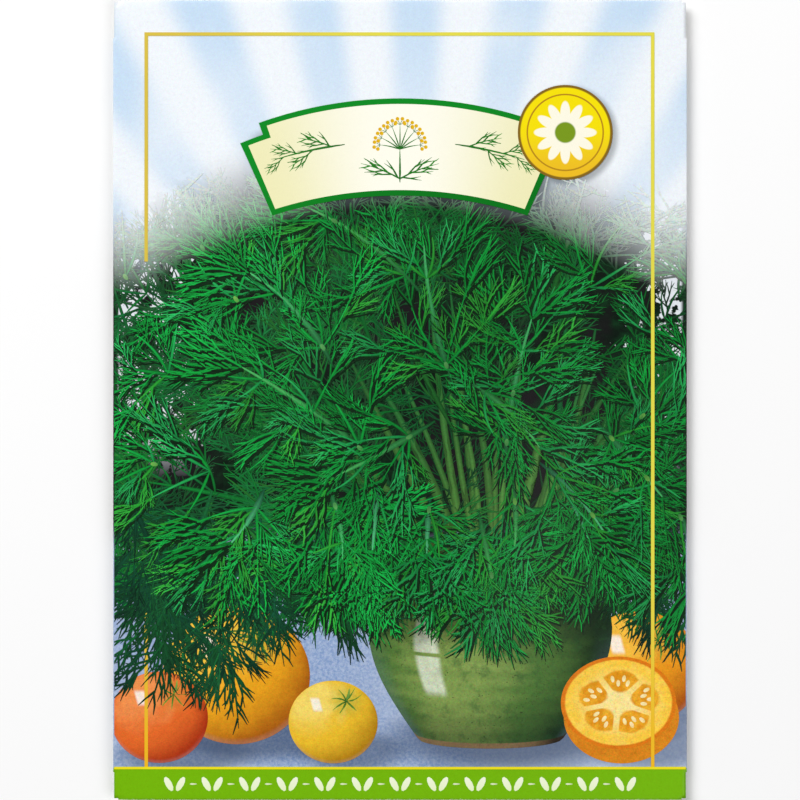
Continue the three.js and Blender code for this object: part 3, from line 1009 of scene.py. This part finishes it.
def ball_paint(shade, middle, light, shoulder):
    """A ripe fruit lit from the upper left, with a paler shoulder and the window's gleam."""
    def paint(place):
        u, v, away = chart(place)
        beside, up = u - CROWN[0], v - CROWN[1]
        far = distance(beside, up)
        rise = maths("SQRT", maths("MAXIMUM", 1.0 - away * away, 0.0))
        ribs = maths("COSINE", maths("ARCTAN2", up, beside) * SEPALS) * ramp(far, 0.9, 0.15)
        mottle = noise(place, 0.3, 4.0, 0.6) * 0.5 - 0.25
        lit = v * 0.55 - u * 0.45 + rise * 0.7 + mottle + ribs * 0.1
        rim = ramp(away, 0.9, 0.99) * ramp(v, -0.2, -0.8)
        pane = ramp(abs(u + v * 0.25 + 0.27), 0.13, 0.07) * ramp(abs(v - 0.42), 0.2, 0.1)
        return layered(
            shade,
            (ramp(lit, -0.45, 0.6), middle),
            (ramp(lit, 0.5, 1.05), light),
            (ramp(far, 0.5, 0.1) * 0.6, shoulder),
            (rim * 0.14, "#c9b8b0"),
            (pane * 0.8, "#fffaf0"),
        )
    return paint


calyxes = Copies(STALK)
for name, x, y, radius, layer, tones in TOMATOES:
    skin = ink_material(name + " tomato ink", ball_paint(*tones), 0.36)
    place = laid_at(x, y, radius, SQUASH * radius)
    printed("tomato_" + name, disc_shape(round(2 * radius)), place, layer, skin, cut=True)
    crown = place(*CROWN)
    for k in range(SEPALS):
        turn = math.tau * k / SEPALS + draw.uniform(-0.2, 0.2)
        length, bend = radius * draw.uniform(0.3, 0.42), draw.uniform(-0.9, 0.9)
        calyxes.add(crown, turn, length, radius * 0.13, bend, layer + 0.12 + 0.02 * k, SEPAL_TONES)
    calyxes.add(crown, 1.2, radius * 0.3, radius * 0.15, 0.3, layer + 0.3, STUB_TONES)
printed_copies("calyxes", [calyxes], leaf_ink)

front_leaves = Fronds(5.6, NEAR, 1.1, SPRAYS[:2] + FANS, thinned=0.2, shadows=True)
for x, y, heading in [(5, -3, 3.6), (9, 3, -0.6), (20, -9, -0.5), (28, -3, -0.7)]:
    heading += draw.uniform(-0.15, 0.15)
    front_leaves.grow((x, y), heading, draw.uniform(13, 17), draw.uniform(-0.5, 0), 1.2)
front_leaves.piece("leaves_front")

CLEAN = 0.03
CUT = Record(x=31.4, y=-43.5, radius=8.3, squash=0.8, thick=2.1)
CHAMBERS = 5
PIPS = 4


def flat_ink(name, first, second, speckle=CLEAN):
    """An ink that wavers faintly between two tones."""
    return ink_material(name, lambda place: mixed(noise(place, 0.3), first, second), speckle)


def cut_paint(place):
    """The face of a cut tomato: thick walls, and five wet seed chambers around a pale core."""
    u, v, away = chart(place)
    cloudy = noise(place, 0.7, 4.0, 0.6)
    walls = abs(maths("SINE", (maths("ARCTAN2", v, u) + 0.4) * (CHAMBERS / 2)))
    reach = walls * 0.14 + cloudy * 0.12 + 0.52
    wet = ramp(reach - away, -0.02, 0.04) * ramp(walls * 0.12 + away, 0.3, 0.38)
    jelly = mixed(ramp(cloudy, 0.35, 0.65), "#e09212", "#f2b02c")
    return layered(
        "#fdea9c",
        (ramp(away, 0.2, 0.85), "#fbcb40"),
        (ramp(cloudy, 0.4, 0.7) * 0.5, "#fdd96a"),
        (wet * ramp(walls * away, 0.1, 0.16), jelly),
        (ramp(cloudy * 0.03 + away, 0.92, 0.96), "#df7a12"),
    )


def cut_place(drop):
    """Lays a disc where the cut face lies, or lower for the body of the fruit under it."""
    return laid_at(CUT.x + 0.2 * drop, CUT.y - drop, CUT.radius, CUT.squash * CUT.radius)


body_ink = flat_ink("cut tomato body ink", "#cf7410", "#e3921e", 0.5)
printed("cut_tomato_body", disc_shape(18), cut_place(CUT.thick), 1.4, body_ink)
cut_ink = ink_material("cut tomato ink", cut_paint, 0.45)
printed("cut_tomato", disc_shape(18), cut_place(0), 2.0, cut_ink)

pips = Copies(DOT)
for k in range(CHAMBERS * PIPS):
    turn = math.tau * (k // PIPS + 0.5) / CHAMBERS - 0.4 + (k % PIPS - 1.5) * 0.19
    away = 0.44 + 0.1 * (k % 2) + 0.02 * math.sin(7 * k)
    root = cut_place(0)(away * math.cos(turn), away * math.sin(turn))
    pips.add(root, turn, 1.0, 0.55, 0.01, 2.5, tone_pair("#fff0bc", "#f6d98a"))
printed_copies("tomato_seeds", [pips], leaf_ink)

# The frame line, the label and the seal.
# Clean flat inks over the picture: a thin yellow frame, an arched cream plate with a green
# border, and a round yellow seal. The plate and the seal carry a plain umbel and a rosette.

LINE_WIDTH = 0.5
STRIP_LINE_WIDTH = 0.36
FRAME = Record(left=-36.48, right=36.32, top=52.6, hidden=(19.9, -31.6), layer=7.4, low_layer=4.4)


def rule(name, start, stop, width, layer, material, on_back=False):
    """A straight printed line between two points."""
    middle, along = np.add(start, stop)[:, None] / 2, np.subtract(stop, start)[:, None] / 2
    aside = along[::-1] * [[-1], [1]] * width / 2 / np.linalg.norm(along)
    shape = grid_shape(round(math.dist(start, stop)), 1)
    return printed(name, shape, lambda u, v: middle + along * u + aside * v, layer, material, on_back)


def frame_paint(place):
    x, y, _ = parts(place)
    high = mixed(ramp(x, FRAME.left, 0), "#dbc048", "#e5db4c")
    return mixed(ramp(y, -56, -20), "#f2ba20", high)


frame_ink = ink_material("frame ink", frame_paint, CLEAN)
left, right, top = FRAME.left, FRAME.right, FRAME.top
hidden_high, hidden_low = FRAME.hidden
half = LINE_WIDTH / 2
for name, start, stop, layer in (
    ("top", (left - half, top), (right + half, top), FRAME.layer),
    ("right", (right, STRIP_TOP), (right, top - half), FRAME.layer),
    ("left_high", (left, hidden_high), (left, top - half), FRAME.layer),
    ("left_low", (left, STRIP_TOP), (left, hidden_low + 1), FRAME.low_layer),
):
    rule("rule_" + name, start, stop, LINE_WIDTH, layer, frame_ink)
strip_line = flat_ink("strip line ink", "#efe21c", "#efe21c")
rule("rule_strip", (-EDGE_X, STRIP_TOP), (EDGE_X, STRIP_TOP), STRIP_LINE_WIDTH, 7.6, strip_line)

LABEL_LAYER = 8
LABEL_COLUMNS, LABEL_ROWS = 220, 14
STEP_EDGE = 0.01


def arch(grow):
    """The plate's outline: an arched band with a step cut out of each upper corner."""
    half_length, half_height = LABEL.half + grow, LABEL.tall / 2 + grow
    step_in, step_down = LABEL.step
    def lay_out(u, v):
        past = (1 - np.abs(u)) * half_length
        beside = np.abs(past - step_in) < 2 * half_length / LABEL_COLUMNS
        past = np.where(beside, step_in + np.sign(past - step_in) * STEP_EDGE, past)
        room = half_height - np.where((past < step_in) & (v > 0), step_down, 0)
        return label_place(np.sign(u) * (half_length - past), v * room)
    return lay_out


def plate_paint(place):
    return mixed(ramp(abs(chart(place)[0]), 0.1, 1.0), "#fffdee", "#f1edbb")


def border_paint(place):
    u, v, _ = chart(place)
    return mixed(ramp((u - v) * 0.5, -0.6, 0.8), "#078a22", "#05741a")


for name, grow, raised, paint in (("border", LABEL.border, 0, border_paint), ("plate", 0, 0.4, plate_paint)):
    label_ink = ink_material(name + " ink", paint, CLEAN)
    shape = grid_shape(LABEL_COLUMNS, LABEL_ROWS)
    printed("label_" + name, shape, arch(grow), LABEL_LAYER + raised, label_ink)

clean_ink = ink_material("clean ink", corner_paint, CLEAN)
LINE_LAYER = LABEL_LAYER + 0.8
UMBEL_RAYS = 9
UMBEL_STALK = 4.4
FLOWER_STEP = 1 / 18
DARK_LINE = tone_pair("#1f661f", "#2f8426")
FLOWER_TONES = tone_pair("#d8a010", "#ecc61c")
BOLD_SPRIG = tuft(1, SPRAY, 0.7)


def drawn(copies, root, heading, length, width, bend):
    copies.add(root, heading, length, width, bend, LINE_LAYER, DARK_LINE)


def umbel_drawing(x, y, size):
    """A line drawing of a flowering stem: rays that end in small round flowers, and two leaves."""
    lines, dots, sprigs = Copies(STALK), Copies(DOT), Copies(BOLD_SPRIG)
    upright, foot = math.pi / 2, (x, y - UMBEL_STALK * size)
    drawn(lines, foot, upright, UMBEL_STALK * size, 0.5 * size, 0.01)
    for k in range(UMBEL_RAYS):
        turn = (2 * k / (UMBEL_RAYS - 1) - 1) * 1.2
        ray = size * (3.3 - 0.5 * abs(turn))
        drawn(lines, (x, y), upright + turn, ray, 0.32 * size, turn * 0.25)
        tip = on_arc(ray, (x, y), upright + turn, ray, turn * 0.25)
        for fan, reach in ((-1.1, 0.62), (-0.4, 0.85), (0.4, 0.85), (1.1, 0.62)):
            way = upright + turn * 1.25 + fan
            flower = (tip[0] + reach * size * math.cos(way), tip[1] + reach * size * math.sin(way))
            drawn(lines, tip, way, reach * size, 0.16 * size, 0.01)
            layer = LINE_LAYER + (4 + k) * FLOWER_STEP
            dots.add(flower, 0, 0.5 * size, 0.5 * size, 0.01, layer, FLOWER_TONES)
    for side in (-1, 1):
        drawn(sprigs, (x, y - 3.9 * size), upright - side * 1.05, 5.6 * size, 4.8 * size, -side * 0.3)
    return lines, dots, sprigs


FLOURISH = Record(start=7.8, reach=10.2, lift=0.9, sprigs=(2.0, 4.6, 7.0, 9.0))
lines, dots, sprigs = umbel_drawing(0, 36.0, 1.08)
for side in (-1, 1):
    outward = (0 if side > 0 else math.pi) - side * FLOURISH.start / LABEL.arc
    foot = label_place(side * FLOURISH.start, FLOURISH.lift)
    turn = -side * FLOURISH.reach / LABEL.arc
    drawn(lines, foot, outward, FLOURISH.reach, 0.6, turn)
    for k, along in enumerate(FLOURISH.sprigs):
        base = on_arc(along, foot, outward, FLOURISH.reach, turn)
        lean = side * (-1) ** k * 0.55
        heading, size = outward + turn * along / FLOURISH.reach + lean, 4.9 - 0.5 * k
        drawn(sprigs, base, heading, size, size, -lean * 0.5)
printed_copies("label_drawing", [lines, dots, sprigs], clean_ink)

STRIP = Record(
    middle=-55.2, pitch=5.4, side=6, lean=0.5, spread=1.7,
    leaf=(2.3, 0.95), dash=(1.0, 0.3), layer=0.6,
)
PALE_LEAF, PALE_DASH = tone_pair("#eaf6c6", "#f6fbe2"), tone_pair("#eaf6c6", "#eaf6c6")
seedlings, dashes = Copies(DOT), Copies(STALK)
for k in range(-STRIP.side, STRIP.side + 1):
    x = k * STRIP.pitch
    for lean in (-STRIP.lean, STRIP.lean):
        root = (x + lean * STRIP.spread, STRIP.middle)
        seedlings.add(root, math.pi / 2 - lean, *STRIP.leaf, 0.01, STRIP.layer, PALE_LEAF)
    if k < STRIP.side:
        dashes.add((x + 2.2, STRIP.middle), 0, *STRIP.dash, 0.01, STRIP.layer, PALE_DASH)
printed_copies("strip_seeds", [seedlings, dashes], clean_ink)


def seal_paint(place):
    """A yellow seal with a dark rim, a thin ring, and a rosette of twelve petals."""
    u, v, away = chart(place)
    petals = abs(maths("COSINE", maths("ARCTAN2", u, v) * 6))
    return layered(
        "#f0bf22",
        (ramp(v, -0.9, 0.2), "#f8e303"),
        (ramp(away - petals * 0.26, 0.42, 0.38), "#fffbe6"),
        (ramp(away, 0.24, 0.2), "#7a9a1c"),
        (maths("COMPARE", away, 0.8, 0.016), "#b98a1a"),
        (ramp(away, 0.93, 0.96), "#86661c"),
    )


seal_ink = ink_material("seal ink", seal_paint, CLEAN)
seal_place = laid_at(SEAL.x, SEAL.y, SEAL.radius, SEAL.radius)
printed("seal", disc_shape(28), seal_place, LABEL_LAYER + 1.2, seal_ink)

# The print on the back.
# White coated paper with thin green rules: a drawing of the flowering stem, a calendar of the
# twelve months with bars for sowing and harvest, and ruled lines to write on.

BACK_FRAME = Record(half=35.5, low=-48.5, high=39.5, width=0.35)
NOTES = Record(half=31, width=0.2, lines=(-18.5, -25.0, -31.5, -38.0))
CALENDAR = Record(left=-31.2, cell=5.2, gap=0.15, top=4.5, height=5.2, bar=2.2)
BARS = [
    ("sowing", (4, 8), 6.3, ("#3c9a2a", "#46a234")),
    ("harvest", (6, 10), 9.3, ("#efc524", "#f4cd38")),
]
NUMBER_SIZE = 2.9

rule_ink = flat_ink("back rule ink", "#6fae0c", "#7cba14")
half, low, high = BACK_FRAME.half, BACK_FRAME.low, BACK_FRAME.high
corners = [(-half, low), (half, low), (half, high), (-half, high)]
for k, corner in enumerate(corners, 1):
    rule(f"back_rule_{k}", corner, corners[k % 4], BACK_FRAME.width, 1, rule_ink, True)
note_ink = flat_ink("note line ink", "#b9c4b0", "#c4cdbc")
half = NOTES.half
for k, y in enumerate(NOTES.lines, 1):
    rule(f"note_line_{k}", (-half, y), (half, y), NOTES.width, 1, note_ink, True)
printed_copies("back_drawing", umbel_drawing(0, 26, 2.1), clean_ink, on_back=True)


def span_place(first, last, top, height):
    """Lays a grid over the columns of some months."""
    half = (last - first + 1) * CALENDAR.cell / 2
    middle = CALENDAR.left + (first - 1) * CALENDAR.cell + half
    return laid_at(middle, top - height / 2, half - CALENDAR.gap, height / 2)


cell_ink = flat_ink("calendar ink", "#dcefb4", "#e4f3c4")
for month in range(1, 13):
    cell = span_place(month, month, CALENDAR.top, CALENDAR.height)
    printed(f"month_{month}", grid_shape(5, 5), cell, 1, cell_ink, True)
for name, (first, last), drop, tones in BARS:
    bar_ink = flat_ink(name + " bar ink", *tones)
    bar = span_place(first, last, CALENDAR.top - drop, CALENDAR.bar)
    columns = round((last - first + 1) * CALENDAR.cell)
    printed("bar_" + name, grid_shape(columns, 2), bar, 1, bar_ink, True)

numbers = bmesh.new()
for month in range(1, 13):
    letters = bpy.data.curves.new("month number", "FONT")
    letters.body = str(month)
    letters.size = NUMBER_SIZE
    letters.align_x, letters.align_y = "CENTER", "CENTER"
    writer = bpy.data.objects.new("month number", letters)
    outline = writer.to_mesh()
    middle_x = CALENDAR.left + (month - 0.5) * CALENDAR.cell
    outline.transform(Matrix.Translation((middle_x, CALENDAR.top - CALENDAR.height / 2, 0)))
    numbers.from_mesh(outline)
    writer.to_mesh_clear()
    bpy.data.objects.remove(writer)
    bpy.data.curves.remove(letters)
number_ink = flat_ink("number ink", "#1f4a1c", "#265423")
printed("month_numbers", numbers, laid_at(0, 0, 1, 1), 2.2, number_ink, True)

# The adhesive and the seeds.
# Both lie inside, between the layers of paper: strips of dry yellowish glue, and flat oval
# brown seeds with pale ribs.


def dress(node, material):
    mesh = bpy.data.objects[node].data
    mesh.materials.clear()
    mesh.materials.append(material)


glue, finish = new_material("dry glue")
film = noise(millimetres(glue.node_tree), 0.7, 4.0, 0.6)
fill(finish, {"Base Color": mixed(film, "#e9dfb4", "#cdb97c"), "Roughness": film * 0.3 + 0.3})
for node in ("side_glue_left", "side_glue_right", "top_flap_glue"):
    dress(node, glue)

husk, finish = new_material("seed husk")
place = millimetres(husk.node_tree)
wave = maths("SINE", noise(place, 0.5, 3.0) * 9.0 + parts(place)[0] * 7.0)
ribs = ramp(wave, 0.2, 0.95)
husk_colour = mixed(noise(place, 1.4, 4.0, 0.7), "#5a3d22", "#8a6740")
fill(finish, {
    "Base Color": mixed(ribs, husk_colour, "#c9a878"),
    "Roughness": 0.7,
    "Normal": relief(ribs, 0.6, 0.05),
})
dress("seeds", husk)

# The table, the light and the camera.
# A plain pale table under soft studio light, seen square on from straight above, as the front
# of a packet is photographed.

LENS, SENSOR = 110, 36
PICTURE_SIDE = (packet_high[1] - packet_low[1]) * MM
TABLE_HALF = 4
TABLE_GAP = 0.02 * MM

table_shape = grid_shape(1, 1, TABLE_HALF)
bmesh.ops.translate(table_shape, vec=(0, 0, -TABLE_GAP), verts=table_shape.verts)
table = add_object("table", mesh_of("table", table_shape))
pale, finish = new_material("pale table")
fill(finish, {"Base Color": (0.99, 0.99, 0.99, 1), "Roughness": 0.8})
table.data.materials.append(pale)


def soft_light(name, place, size, power):
    light = bpy.data.lights.new(name, "AREA")
    light.shape = "SQUARE"
    light.size = size
    light.energy = power
    lamp = add_object(name, light)
    lamp.location = place
    lamp.rotation_euler = (-Vector(place)).to_track_quat("-Z", "Y").to_euler()


soft_light("key light", (-0.5, 0.6, 0.8), 0.6, 9.6)
soft_light("fill light", (0.7, -0.3, 0.9), 0.9, 4.9)
world = bpy.data.worlds.new("studio")
world.use_nodes = True
fill(world.node_tree.nodes["Background"], {"Color": (1, 1, 1, 1), "Strength": 0.25})
bpy.context.scene.world = world
bpy.context.scene.view_settings.view_transform = "Standard"

lens = bpy.data.cameras.new("camera")
lens.lens, lens.sensor_width = LENS, SENSOR
camera = add_object("camera", lens)
camera.location = (0, 0, FRONT_Z * MM + PICTURE_SIDE * LENS / SENSOR)
bpy.context.scene.camera = camera
